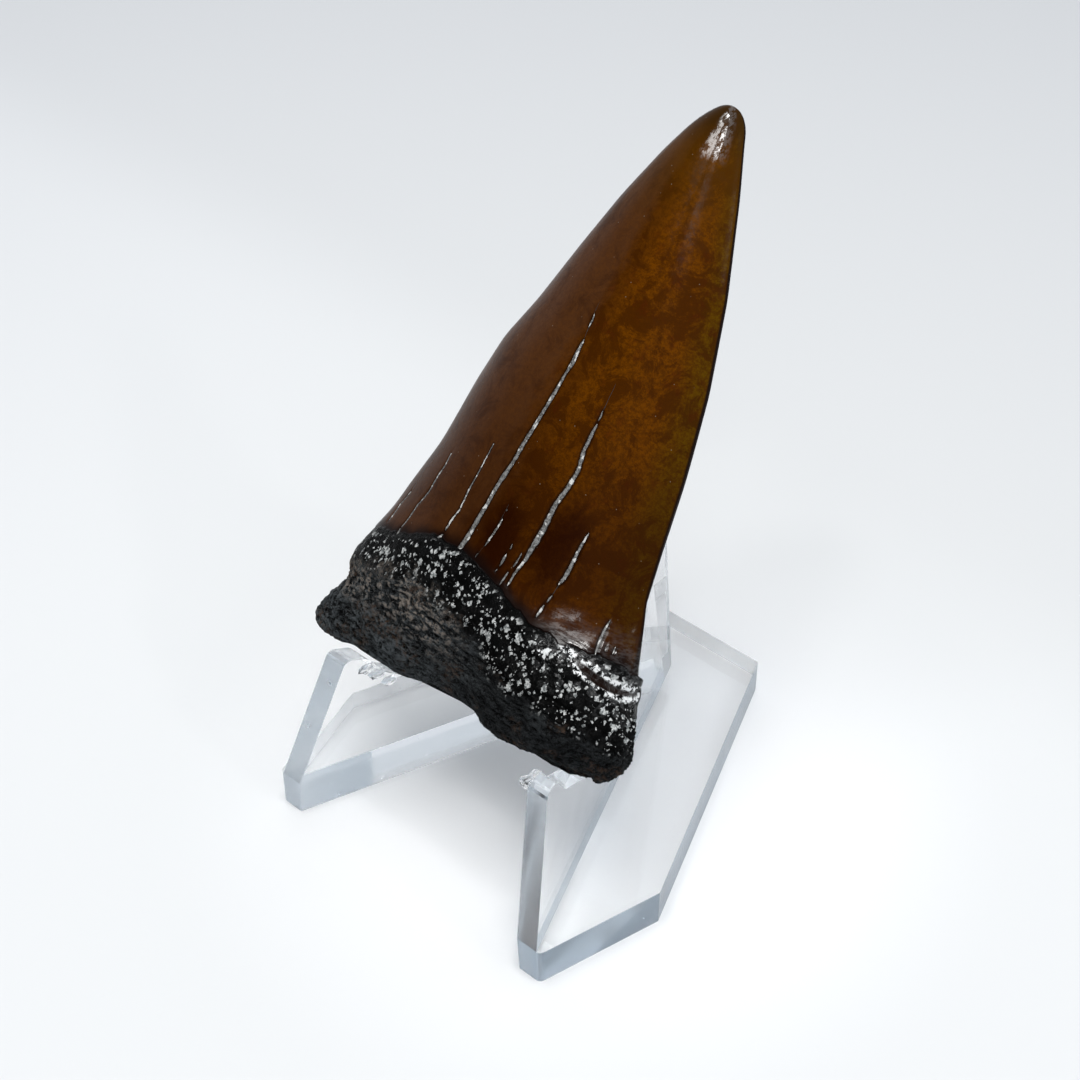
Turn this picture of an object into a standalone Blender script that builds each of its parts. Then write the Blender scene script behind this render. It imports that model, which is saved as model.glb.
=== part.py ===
"""A polished fossil shark tooth standing on a clear moulded easel.

Two pieces: the tooth, one solid from root to tip, and the stand, one clear
moulding. Lengths are metres, +Z is up, the front of the stand faces -Y, and
the origin is on the surface it stands on, under the middle of the object.
"""

import math

import bmesh
import bpy
import numpy as np
from mathutils import Matrix, Vector, noise

MM = 0.001

# Depths start at the front of the feet, and this is the depth of the origin.
ORIGIN_DEPTH = 23.5 * MM

# Stand, seen from above.
BASE_HEIGHT = 4.05 * MM
FOOT_INSIDE = 14.25 * MM
FOOT_OUTSIDE = 17.0 * MM
FOOT_CORNER_RADIUS = 0.6 * MM
PLATE_OUTSIDE = 16.6 * MM
PLATE_ANGLE = math.radians(21.2)
FLANGE_FRONT_ANGLE = math.radians(15.6)
FLANGE_FRONT_LENGTH = 13.2 * MM
FLANGE_SIDE_LENGTH = 32.9 * MM
STAND_DEPTH = 43.4 * MM

# Stand, seen from the side.
PLATE_LEAN = math.radians(3.6)
LIP_DEPTH = 4.7 * MM
LIP_HEIGHT = 19.1 * MM
LIP_RADIUS = 0.7 * MM
CREST_DEPTH = 6.7 * MM
CREST_HEIGHT = 18.45 * MM
CREST_RADIUS = 1.0 * MM
NOTCH_DEPTH = 13.05 * MM
NOTCH_HEIGHT = 12.5 * MM
LEDGE_LENGTH = 5.5 * MM
REST_TILT = math.radians(55.0)
APEX_HEIGHT = 42.0 * MM
APEX_REAR = 37.05 * MM
REAR_LEAN = math.radians(2.3)
APEX_WEB = 1.2 * MM
EDGE_ROUNDING = 0.16 * MM

# Tooth, in its own plane: across, up towards the tip, and out from its flat back.
REST_GAP = 0.35 * MM
TOOTH_HEIGHT = 61.0 * MM
TIP_ROUNDING = 2.0 * MM
ENAMEL_LEVEL = 13.0 * MM
LEFT_EDGE = [(0.3, -21.2), (1.6, -21.2), (3.4, -20.1), (5.2, -19.0), (7.2, -18.1), (9.0, -18.9),
             (10.8, -18.8), (13.0, -18.6), (17.0, -17.8), (22.0, -16.3), (28.5, -15.4), (33.5, -14.4),
             (38.0, -12.6), (44.0, -10.7), (50.0, -8.7), (55.3, -6.5), (58.4, -4.9), (60.0, -3.7)]
RIGHT_EDGE = [(0.3, 16.2), (1.8, 16.2), (3.4, 16.4), (5.2, 16.4), (7.4, 15.7), (9.4, 15.0),
              (11.0, 14.2), (12.2, 13.7), (15.0, 12.4), (18.5, 11.0), (24.0, 10.1), (29.3, 9.4),
              (37.0, 8.0), (45.2, 5.8), (53.8, 2.7), (58.4, 0.8), (60.0, 0.2)]
FRONT_HEIGHT = [(0.3, 9.6), (3.0, 10.6), (6.0, 11.1), (9.5, 11.0), (12.2, 10.5), (14.0, 9.9),
                (20.0, 9.5), (30.0, 8.5), (40.0, 7.1), (48.0, 5.6), (54.0, 4.3), (58.0, 3.2), (60.0, 2.7)]
EDGE_HEIGHT = [(0.3, 4.6), (8.0, 4.4), (13.0, 3.2), (25.0, 2.5), (45.0, 2.0), (60.0, 1.4)]
ENAMEL_FRONT = [(-19.0, 11.6), (-15.5, 12.5), (-11.4, 13.8), (-8.6, 15.3), (-5.5, 15.6), (-3.0, 15.3),
                (-0.2, 14.7), (1.7, 14.0), (3.6, 13.0), (5.4, 12.5), (8.6, 12.4), (11.4, 12.8),
                (12.7, 12.6), (14.0, 11.5)]
ENAMEL_BACK = [(-19.0, 11.6), (-12.0, 10.6), (-3.0, 10.4), (8.0, 10.4), (14.0, 11.5)]

RING_POINTS = 72
UNDERSIDE_RINGS = 14
ROOT_RINGS = 18
CROWN_RINGS = 18
TIP_RINGS = 5
UNDERSIDE_RISE = 4.5 * MM
UNDERSIDE_FRONT = 6.1 * MM
UNDERSIDE_BACK = 2.4 * MM
UNDERSIDE_SIDE = 3.0 * MM
ARCH_HEIGHT = 1.2 * MM
ARCH_MIDDLE = -3.0 * MM
ARCH_WIDTH = 5.0 * MM
RIGHT_LIFT = 1.5 * MM
RIGHT_END_LIFT = 1.2 * MM
LEFT_DROP = 0.3 * MM
LEFT_END_DROP = 0.6 * MM
BACK_ROUGHNESS = 0.3 * MM
LEDGE_FILLET = 0.6 * MM
CROWN_STRETCH = 0.65

# Where the ledges reach under the tooth, as distances from the middle; they spread towards the front.
SEAT_START = 6.4 * MM
SEAT_SPREAD = 0.28
SEAT_BLEND = 1.2 * MM
SEAT_FADE = 14.5 * MM
SEAT_END = 16.0 * MM

# Relief of the root: heights, and sizes across, up and out.
LUMP_HEIGHT = 0.34 * MM
LUMP_SIZE = (4.2 * MM, 2.6 * MM, 3.4 * MM)
FIBRE_HEIGHT = 0.26 * MM
FIBRE_SIZE = (2.4 * MM, 0.95 * MM, 1.1 * MM)
FIBRE_SHIFT = 7.7 * MM
HUMP_HEIGHT = 0.5 * MM
HUMP_PLACE = (-6.0 * MM, 8.0 * MM)
HUMP_SIZE = (5.0 * MM, 4.0 * MM)
VALLEY_DEPTH = 0.7 * MM
VALLEY_PLACE = (1.0 * MM, 6.0 * MM)
VALLEY_SIZE = (3.0 * MM, 4.5 * MM)
RIM_HEIGHT = 0.32 * MM
RIM_DROP = 1.2 * MM
RIM_WIDTH = 0.9 * MM
BACK_PART = 3.0 * MM


def clear_objects():
    for item in list(bpy.data.objects):
        bpy.data.objects.remove(item, do_unlink=True)


def make_material(name, colour, roughness, transmission=0.0, ior=1.5):
    material = bpy.data.materials.new(name)
    material.use_nodes = True
    shader = material.node_tree.nodes["Principled BSDF"]
    shader.inputs["Base Color"].default_value = (*colour, 1.0)
    shader.inputs["Roughness"].default_value = roughness
    shader.inputs["Metallic"].default_value = 0.0
    shader.inputs["Transmission Weight"].default_value = transmission
    shader.inputs["IOR"].default_value = ior
    return material


def add_object(name, mesh, material=None):
    item = bpy.data.objects.new(name, mesh)
    bpy.context.scene.collection.objects.link(item)
    if material is not None:
        mesh.materials.append(material)
    return item


def add_helper(name, mesh):
    """A shape that only takes part in a Boolean."""
    item = add_object(name, mesh)
    item.hide_render = True
    item.display_type = "WIRE"
    return item


def mesh_from_bmesh(name, shape):
    bmesh.ops.recalc_face_normals(shape, faces=shape.faces)
    mesh = bpy.data.meshes.new(name)
    shape.to_mesh(mesh)
    shape.free()
    return mesh


def prism(outline, start, step):
    """Extrude a closed outline of 3-D points by the vector step."""
    shape = bmesh.new()
    corners = [shape.verts.new(Vector(point) + Vector(start)) for point in outline]
    cap = shape.faces.new(corners)
    grown = bmesh.ops.extrude_face_region(shape, geom=[cap])
    moved = [part for part in grown["geom"] if isinstance(part, bmesh.types.BMVert)]
    bmesh.ops.translate(shape, verts=moved, vec=Vector(step))
    return shape


def round_corner(before, corner, after, radius, steps):
    """Points of the arc that rounds one corner of a flat outline."""
    corner = np.array(corner)
    to_before = np.array(before) - corner
    to_after = np.array(after) - corner
    to_before = to_before / np.linalg.norm(to_before)
    to_after = to_after / np.linalg.norm(to_after)
    half = 0.5 * math.acos(float(np.clip(to_before @ to_after, -1.0, 1.0)))
    middle = to_before + to_after
    centre = corner + middle / np.linalg.norm(middle) * radius / math.sin(half)
    first = corner + to_before * radius / math.tan(half) - centre
    last = corner + to_after * radius / math.tan(half) - centre
    points = []
    for step in range(steps + 1):
        share = step / steps
        spoke = first * (1.0 - share) + last * share
        points.append(centre + spoke * radius / np.linalg.norm(spoke))
    return points


def base_outline():
    """The flat base from above, counter-clockwise, before the V is cut from it."""
    flange_corner = (FOOT_OUTSIDE + FLANGE_FRONT_LENGTH * math.sin(FLANGE_FRONT_ANGLE),
                     FLANGE_FRONT_LENGTH * math.cos(FLANGE_FRONT_ANGLE))
    rear_corner = (flange_corner[0] - FLANGE_SIDE_LENGTH * math.sin(PLATE_ANGLE), STAND_DEPTH)
    foot = round_corner((0.0, 0.0), (FOOT_OUTSIDE, 0.0), flange_corner, FOOT_CORNER_RADIUS, 3)
    right = [tuple(point) for point in foot] + [flange_corner, rear_corner]
    left = [(-x, y) for x, y in reversed(right)]
    return right + left


def easel_profile():
    """The plates from the side, as depth and height, starting inside the base."""
    inside = 0.4 * MM
    sunk = 1.0 * MM
    foot = (0.0, BASE_HEIGHT)
    lip = (LIP_DEPTH, LIP_HEIGHT)
    crest = (CREST_DEPTH, CREST_HEIGHT)
    notch = (NOTCH_DEPTH, NOTCH_HEIGHT)
    ledge = (notch[0] - LEDGE_LENGTH * math.sin(REST_TILT), notch[1] + LEDGE_LENGTH * math.cos(REST_TILT))
    apex = (notch[0] + (APEX_HEIGHT - notch[1]) / math.tan(REST_TILT), APEX_HEIGHT)
    rear_top = (APEX_REAR - (APEX_HEIGHT - BASE_HEIGHT) * math.tan(REAR_LEAN), APEX_HEIGHT)
    rear_foot = (APEX_REAR, BASE_HEIGHT)
    points = [(inside, sunk), foot]
    points += round_corner(foot, lip, crest, LIP_RADIUS, 3)
    points += round_corner(lip, crest, ledge, CREST_RADIUS, 3)
    points += round_corner(crest, ledge, notch, CREST_RADIUS, 2)
    points += round_corner(ledge, notch, apex, 0.5 * MM, 2)
    points += round_corner(notch, apex, rear_top, 0.9 * MM, 3)
    points += [rear_top, rear_foot, (APEX_REAR - inside, sunk)]
    return points


def cut_with_plane(shape, point, normal):
    """Keep the part of a closed shape behind a plane and cap the cut."""
    geometry = shape.verts[:] + shape.edges[:] + shape.faces[:]
    cut = bmesh.ops.bisect_plane(shape, geom=geometry, plane_co=point, plane_no=normal, clear_outer=True)
    edges = [part for part in cut["geom_cut"] if isinstance(part, bmesh.types.BMEdge)]
    bmesh.ops.contextual_create(shape, geom=edges)


def easel_block():
    """Both plates as one solid wedge, closed between them."""
    width = 2.0 * FOOT_OUTSIDE
    outline = [(0.0, y, z) for y, z in easel_profile()]
    shape = prism(outline, (-width / 2.0, 0.0, 0.0), (width, 0.0, 0.0))
    for side in (1.0, -1.0):
        normal = Vector((side * math.cos(PLATE_ANGLE), math.sin(PLATE_ANGLE), math.tan(PLATE_LEAN)))
        cut_with_plane(shape, Vector((side * PLATE_OUTSIDE, 0.0, BASE_HEIGHT)), normal.normalized())
    return mesh_from_bmesh("easel_block", shape)


def inner_half_width(depth, height):
    """Distance from the middle to the inner face of a plate."""
    lean = math.tan(PLATE_LEAN) / math.cos(PLATE_ANGLE)
    return FOOT_INSIDE - depth * math.tan(PLATE_ANGLE) - (height - BASE_HEIGHT) * lean


def gap_cutter():
    """The tapered space between the plates, open at the front, above and below."""
    front = -3.0 * MM
    shape = bmesh.new()
    rings = []
    for height in (-1.0 * MM, APEX_HEIGHT + 2.0 * MM):
        wide = inner_half_width(front, height)
        slope = math.tan(PLATE_ANGLE)
        narrow = APEX_WEB / 2.0
        end = front + (wide - narrow) / slope
        corners = [(-wide, front), (wide, front), (narrow, end), (-narrow, end)]
        rings.append([shape.verts.new((x, y, height)) for x, y in corners])
    low, high = rings
    shape.faces.new(list(reversed(low)))
    shape.faces.new(high)
    for index in range(4):
        after = (index + 1) % 4
        shape.faces.new((low[index], low[after], high[after], high[index]))
    return mesh_from_bmesh("gap_cutter", shape)


def add_boolean(item, other, operation):
    modifier = item.modifiers.new(operation.lower(), "BOOLEAN")
    modifier.object = other
    modifier.operation = operation
    modifier.solver = "EXACT"


def stub_mesh(name, centre, size, seed):
    """A small rough lump of clear plastic left where the moulding was broken off."""
    shape = bmesh.new()
    bmesh.ops.create_icosphere(shape, subdivisions=2, radius=1.0)
    for vert in shape.verts:
        grain = noise.noise(vert.co * 1.7 + Vector((seed, 0.0, 0.0)))
        vert.co *= 1.0 + 0.45 * grain
        vert.co = Vector([value * half for value, half in zip(vert.co, size)]) + Vector(centre)
    return mesh_from_bmesh(name, shape)


def stub_place(side, depth, height, inward):
    """A place beside the inner face of one plate."""
    return (side * (inner_half_width(depth, height) - inward), depth, height)


def gate_stubs():
    """Side, depth, height, reach inwards, and the three half sizes, in mm."""
    rows = [(1, 5.2, 18.2, 0.25, 0.8, 0.7, 0.5), (1, 6.2, 17.9, 0.1, 0.6, 0.9, 0.5),
            (-1, 6.6, 17.3, 0.05, 0.5, 0.9, 0.5), (-1, 7.6, 16.2, 0.1, 0.6, 0.9, 0.5),
            (-1, 8.8, 14.6, 0.05, 0.5, 0.9, 0.5)]
    stubs = []
    for index, (side, depth, height, inward, wide, deep, high) in enumerate(rows):
        centre = stub_place(side, depth * MM, height * MM, inward * MM)
        size = (wide * MM, deep * MM, high * MM)
        stubs.append(add_helper("stub_%d" % index, stub_mesh("stub_%d" % index, centre, size, 3.1 * index)))
    return stubs


def build_stand():
    clear = make_material("clear_plastic", (0.93, 0.95, 0.98), 0.04, transmission=1.0, ior=1.49)
    outline = [(x, y, 0.0) for x, y in base_outline()]
    base = mesh_from_bmesh("stand", prism(outline, (0.0, 0.0, 0.0), (0.0, 0.0, BASE_HEIGHT)))
    stand = add_object("stand", base, clear)
    add_boolean(stand, add_helper("easel_block", easel_block()), "UNION")
    add_boolean(stand, add_helper("gap_cutter", gap_cutter()), "DIFFERENCE")
    for stub in gate_stubs():
        add_boolean(stand, stub, "UNION")
    rounding = stand.modifiers.new("edges", "BEVEL")
    rounding.width = EDGE_ROUNDING
    rounding.segments = 1
    rounding.limit_method = "ANGLE"
    rounding.angle_limit = math.radians(40.0)
    return stand


def along(table, value):
    """Read a table of (position, size) pairs in mm with a smooth curve through it."""
    places = np.array([row[0] for row in table]) * MM
    sizes = np.array([row[1] for row in table]) * MM
    spread = 0.8 * MM
    total = 0.0
    for offset in (-1.0, -0.5, 0.0, 0.5, 1.0):
        total = total + np.interp(value + offset * spread, places, sizes)
    return total / 5.0


def smooth_step(low, high, value):
    share = np.clip((value - low) / (high - low), 0.0, 1.0)
    return share * share * (3.0 - 2.0 * share)


def ring_levels():
    """Heights of the rings, and the share by which the underside's rounding draws each one in."""
    levels = []
    for step in range(UNDERSIDE_RINGS):
        turn = math.radians(90.0) * step / UNDERSIDE_RINGS
        levels.append((REST_GAP + UNDERSIDE_RISE * (1.0 - math.cos(turn)), 1.0 - math.sin(turn)))
    start = REST_GAP + UNDERSIDE_RISE
    levels.append((start, 0.0))
    for step in range(1, ROOT_RINGS + 1):
        levels.append((start + (ENAMEL_LEVEL - start) * step / ROOT_RINGS, 0.0))
    crown = TOOTH_HEIGHT - TIP_ROUNDING - ENAMEL_LEVEL
    for step in range(1, CROWN_RINGS + 1):
        share = step / CROWN_RINGS
        share += CROWN_STRETCH * share ** 2 * (1.0 - share)
        levels.append((ENAMEL_LEVEL + crown * share, 0.0))
    for step in range(1, TIP_RINGS + 1):
        turn = math.radians(90.0) * step / TIP_RINGS
        levels.append((TOOTH_HEIGHT - TIP_ROUNDING * (1.0 - math.sin(turn)), 0.0))
    return levels


def tooth_point(level, inset, turn):
    """One point of the smooth tooth, as (across, up, out)."""
    left = along(LEFT_EDGE, level) + inset * UNDERSIDE_SIDE
    right = along(RIGHT_EDGE, level) - inset * UNDERSIDE_SIDE
    front = along(FRONT_HEIGHT, level) - inset * UNDERSIDE_FRONT
    back = REST_GAP + BACK_ROUGHNESS + inset * UNDERSIDE_BACK
    edge = min(along(EDGE_HEIGHT, level), 0.5 * (front + back))
    cosine = math.cos(turn)
    sine = math.sin(turn)
    middle = 0.5 * (left + right)
    past = max(level - TOOTH_HEIGHT + TIP_ROUNDING, 0.0) / TIP_ROUNDING
    closing = math.sqrt(max(1.0 - past ** 2, 0.004))
    reach = 0.5 * (right - left) * closing
    across = middle + reach * cosine
    crown = smooth_step(ENAMEL_LEVEL - 2.5 * MM, ENAMEL_LEVEL + 4.0 * MM, level)
    round_part = abs(sine) ** 0.8
    lens_part = 0.12 * abs(sine) + 0.88 * (1.0 - cosine * cosine)
    share = (1.0 - crown) * round_part + crown * lens_part
    if sine >= 0.0:
        out = edge + (front - edge) * share * closing
    else:
        out = edge - (edge - back) * abs(sine) ** 0.55 * closing
    line = along(ENAMEL_FRONT, across) if sine >= 0.0 else along(ENAMEL_BACK, across)
    weight = smooth_step(0.0, ENAMEL_LEVEL, level) * (1.0 - smooth_step(ENAMEL_LEVEL, 34.0 * MM, level))
    arch = ARCH_HEIGHT * math.exp(-((across - ARCH_MIDDLE) / ARCH_WIDTH) ** 2)
    up = level + (line - ENAMEL_LEVEL) * weight + arch * (1.0 - smooth_step(0.0, ENAMEL_LEVEL, level))
    lift = RIGHT_LIFT * smooth_step(3.0 * MM, 12.0 * MM, across)
    lift -= LEFT_DROP * smooth_step(4.0 * MM, 10.0 * MM, -across)
    lift *= max(sine, 0.0)
    lift += RIGHT_END_LIFT * smooth_step(10.0 * MM, 14.0 * MM, across)
    lift -= LEFT_END_DROP * smooth_step(13.0 * MM, 16.5 * MM, -across)
    up += lift * (1.0 - smooth_step(0.0, 8.0 * MM, level))
    return Vector((across, up, out))


def grain(point, size):
    """Noise at a point, stretched by the sizes across, up and out."""
    return noise.noise(Vector([value / stretch for value, stretch in zip(point, size)]))


def mound(point, place, size):
    """A smooth mound of height 1 around a place in the tooth's plane."""
    across = (point.x - place[0]) / size[0]
    up = (point.y - place[1]) / size[1]
    return math.exp(-across ** 2 - up ** 2)


def root_relief(point, level):
    """Height of the root's lumps, fibres and hollows above the smooth form."""
    if level > ENAMEL_LEVEL - 0.2 * MM:
        return 0.0
    height = LUMP_HEIGHT * grain(point, LUMP_SIZE)
    height += FIBRE_HEIGHT * grain(point + Vector((0.0, 0.0, FIBRE_SHIFT)), FIBRE_SIZE)
    height += RIM_HEIGHT * math.exp(-((level - ENAMEL_LEVEL + RIM_DROP) / RIM_WIDTH) ** 2)
    if point.z >= BACK_PART:
        height += HUMP_HEIGHT * mound(point, HUMP_PLACE, HUMP_SIZE)
        height -= VALLEY_DEPTH * mound(point, VALLEY_PLACE, VALLEY_SIZE)
    return height


def ledge_rise(out):
    """How far the ledge's upturned front end stands above the ledge, at a distance from the back-rest."""
    places = [NOTCH_DEPTH - LEDGE_LENGTH * math.sin(REST_TILT), CREST_DEPTH, LIP_DEPTH]
    heights = [NOTCH_HEIGHT + LEDGE_LENGTH * math.cos(REST_TILT), CREST_HEIGHT, LIP_HEIGHT]
    outs = []
    rises = []
    for depth, height in zip(places, heights):
        back = NOTCH_DEPTH - depth
        high = height - NOTCH_HEIGHT
        outs.append(back * math.sin(REST_TILT) + high * math.cos(REST_TILT))
        rises.append(high * math.sin(REST_TILT) - back * math.cos(REST_TILT))
    outs[0] -= LEDGE_FILLET
    outs.append(outs[-1] + LEDGE_FILLET)
    rises.append(0.0)
    return float(np.interp(out, outs, rises))


def seat(point):
    """Move a point of the tooth off the stand, with the resting gap between them."""
    reach = abs(point.x)
    start = SEAT_START + SEAT_SPREAD * point.z
    near = smooth_step(start, start + SEAT_BLEND, reach) * (1.0 - smooth_step(SEAT_FADE, SEAT_END, reach))
    point.y = max(point.y, REST_GAP + near * ledge_rise(point.z))
    point.z = max(point.z, REST_GAP)


def tooth_frame():
    """Matrix from the tooth's own plane to the place where it leans on the stand."""
    up = Vector((0.0, math.cos(REST_TILT), math.sin(REST_TILT)))
    out = Vector((0.0, -math.sin(REST_TILT), math.cos(REST_TILT)))
    across = Vector((1.0, 0.0, 0.0))
    turn = Matrix((across, up, out)).transposed().to_4x4()
    return Matrix.Translation((0.0, NOTCH_DEPTH, NOTCH_HEIGHT)) @ turn


def build_tooth():
    shape = bmesh.new()
    rings = []
    for level, inset in ring_levels():
        ring = []
        for index in range(RING_POINTS):
            point = tooth_point(level, inset, 2.0 * math.pi * index / RING_POINTS)
            ring.append((shape.verts.new(point), level))
        rings.append(ring)
    for low, high in zip(rings, rings[1:]):
        for index in range(RING_POINTS):
            after = (index + 1) % RING_POINTS
            shape.faces.new((low[index][0], low[after][0], high[after][0], high[index][0]))
    shape.faces.new([vert for vert, level in reversed(rings[0])])
    shape.faces.new([vert for vert, level in rings[-1]])
    bmesh.ops.recalc_face_normals(shape, faces=shape.faces)
    shape.normal_update()
    moves = [(vert, vert.normal * root_relief(vert.co, level)) for ring in rings for vert, level in ring]
    for vert, move in moves:
        vert.co += move
        seat(vert.co)
    bmesh.ops.transform(shape, matrix=tooth_frame(), verts=shape.verts)
    mesh = mesh_from_bmesh("tooth", shape)
    mesh.shade_smooth()
    return add_object("tooth", mesh, make_material("fossil_tooth", (0.11, 0.045, 0.02), 0.3))


clear_objects()
build_stand()
build_tooth()
for item in bpy.data.objects:
    item.location.y = -ORIGIN_DEPTH
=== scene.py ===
"""Looks for the fossil shark tooth on its clear stand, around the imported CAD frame."""

import math
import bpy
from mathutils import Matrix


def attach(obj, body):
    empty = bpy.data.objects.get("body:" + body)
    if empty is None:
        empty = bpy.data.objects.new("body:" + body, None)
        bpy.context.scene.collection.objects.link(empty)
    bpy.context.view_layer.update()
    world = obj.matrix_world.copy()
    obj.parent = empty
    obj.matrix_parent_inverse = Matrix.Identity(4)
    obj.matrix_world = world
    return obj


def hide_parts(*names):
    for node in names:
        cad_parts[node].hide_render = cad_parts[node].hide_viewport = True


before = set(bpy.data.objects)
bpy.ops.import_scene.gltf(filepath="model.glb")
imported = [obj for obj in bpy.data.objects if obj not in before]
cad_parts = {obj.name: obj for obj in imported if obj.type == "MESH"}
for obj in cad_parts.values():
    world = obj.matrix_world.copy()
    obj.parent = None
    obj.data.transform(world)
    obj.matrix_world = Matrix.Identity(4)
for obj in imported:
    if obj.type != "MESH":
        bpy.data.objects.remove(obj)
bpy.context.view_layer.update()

from types import SimpleNamespace

import bpy
import numpy as np
from mathutils import Vector, noise
from mathutils.bvhtree import BVHTree

MM = 0.001

# Camera, at the photograph's place in front and to the right of the object.
CAMERA_TARGET = (-0.00874, 0.00547, 0.020)
CAMERA_AZIMUTH = math.radians(41.65)
CAMERA_ELEVATION = math.radians(40.5)
CAMERA_DISTANCE = 0.20914
CAMERA_LENS = 70.41
CAMERA_SENSOR = 36.0
CAMERA_NEAREST = 0.005

# A pale tent all round, and a darker card low at the front left, which the flat of the crown mirrors.
# The card's edge fades between these cosines of the angle to its middle.
TENT_COLOUR = (0.91, 0.95, 1.0)
CARD_COLOUR = (0.06, 0.065, 0.07)
CARD_DIRECTION = (-0.50, -0.75, 0.42)
CARD_EDGE = (0.45, 0.80)
WORLD_STRENGTH = 0.92

# Lamps: name, place, what each points at, width and depth, watts and colour. The first lights the
# whole object, and the small ones make the highlights of the band, the tip and the right rim.
LAMPS = [
    ("overhead", (-0.03, -0.075, 0.50), (0.0, 0.0, 0.0), (0.30, 0.30), 1.4, (1.0, 0.99, 0.975)),
    ("core", (-0.02, -0.14, 0.49), (0.0, 0.0, 0.0), (0.06, 0.03), 0.15, (1.0, 0.99, 0.975)),
    ("glint", (0.045, 0.02, 0.50), (0.0, 0.0, 0.03), (0.05, 0.05), 0.24, (1.0, 0.98, 0.96)),
    ("tip_glint", (0.167, -0.169, 0.434), (0.0, 0.02, 0.06), (0.08, 0.08), 0.22, (1.0, 0.99, 0.98)),
    ("rim_glint", (0.34, 0.03, 0.30), (0.01, 0.0, 0.03), (0.03, 0.03), 0.11, (1.0, 0.99, 0.98)),
]

# Floor: palest round its middle, darker and cooler away from it, and a little darker behind, all painted
# light: a painted pool of light with painted falloff, and painted shade behind.
FLOOR_HALF = 2.0
FLOOR_DROP = 0.05 * MM
FLOOR_MIDDLE = (4.0 * MM, -2.0 * MM, 0.0)
FLOOR_PALE_REACH = 8.0 * MM
FLOOR_GREY_REACH = 45.0 * MM
FLOOR_FAR_REACH = 190.0 * MM
FLOOR_PALE = (0.85, 0.855, 0.86)
FLOOR_GREY = (0.68, 0.69, 0.695)
FLOOR_FAR = (0.625, 0.637, 0.653)
FLOOR_BEHIND = (30.0 * MM, 60.0 * MM)
FLOOR_BEHIND_SHADE = 0.07

# The tooth's plane on the stand, as in the CAD source.
ORIGIN_DEPTH = 23.5 * MM
LIP_DEPTH = 4.7 * MM
LIP_HEIGHT = 19.1 * MM
CREST_DEPTH = 6.7 * MM
CREST_HEIGHT = 18.45 * MM
NOTCH_DEPTH = 13.05 * MM
NOTCH_HEIGHT = 12.5 * MM
LEDGE_LENGTH = 5.5 * MM
LEDGE_FILLET = 0.6 * MM
REST_TILT = math.radians(55.0)
REST_GAP = 0.35 * MM

# The tooth's form, as in the CAD source, but a hair lower, because its finer rings reach further.
TOOTH_HEIGHT = 60.98 * MM
TIP_ROUNDING = 2.0 * MM
ENAMEL_LEVEL = 13.0 * MM
ROOT_TOP = 13.8 * MM
LEFT_EDGE = [(0.3, -21.2), (1.6, -21.2), (3.4, -20.1), (5.2, -19.0), (7.2, -18.1), (9.0, -18.9),
             (10.8, -18.8), (13.0, -18.6), (17.0, -17.8), (22.0, -16.3), (28.5, -15.4), (33.5, -14.4),
             (38.0, -12.6), (44.0, -10.7), (50.0, -8.7), (55.3, -6.5), (58.4, -4.9), (60.0, -3.7)]
RIGHT_EDGE = [(0.3, 16.2), (1.8, 16.2), (3.4, 16.4), (5.2, 16.4), (7.4, 15.7), (9.4, 15.0),
              (11.0, 14.2), (12.2, 13.7), (15.0, 12.4), (18.5, 11.0), (24.0, 10.1), (29.3, 9.4),
              (37.0, 8.0), (45.2, 5.8), (53.8, 2.7), (58.4, 0.8), (60.0, 0.2)]
FRONT_HEIGHT = [(0.3, 9.6), (3.0, 10.6), (6.0, 11.1), (9.5, 11.0), (12.2, 10.5), (14.0, 9.9),
                (20.0, 9.5), (30.0, 8.5), (40.0, 7.1), (48.0, 5.6), (54.0, 4.3), (58.0, 3.2), (60.0, 2.7)]
EDGE_HEIGHT = [(0.3, 4.6), (8.0, 4.4), (13.0, 3.2), (25.0, 2.5), (45.0, 2.0), (60.0, 1.4)]
ENAMEL_FRONT = [(-19.0, 11.6), (-15.5, 12.5), (-11.4, 13.8), (-8.6, 15.3), (-5.5, 15.6), (-3.0, 15.3),
                (-0.2, 14.7), (1.7, 14.0), (3.6, 13.0), (5.4, 12.5), (8.6, 12.4), (11.4, 12.8),
                (12.7, 12.6), (14.0, 11.5)]
ENAMEL_BACK = [(-19.0, 11.6), (-12.0, 10.6), (-3.0, 10.4), (8.0, 10.4), (14.0, 11.5)]
UNDERSIDE_RISE = 4.5 * MM
UNDERSIDE_FRONT = 6.1 * MM
UNDERSIDE_BACK = 2.4 * MM
UNDERSIDE_SIDE = 3.0 * MM
ARCH_HEIGHT = 1.2 * MM
ARCH_MIDDLE = -3.0 * MM
ARCH_WIDTH = 5.0 * MM
RIGHT_LIFT = 1.5 * MM
RIGHT_END_LIFT = 1.2 * MM
LEFT_DROP = 0.3 * MM
LEFT_END_DROP = 0.6 * MM
BACK_ROUGHNESS = 0.3 * MM
SEAT_START = 6.4 * MM
SEAT_SPREAD = 0.28
SEAT_BLEND = 1.2 * MM
SEAT_FADE = 14.5 * MM
SEAT_END = 16.0 * MM

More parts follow.
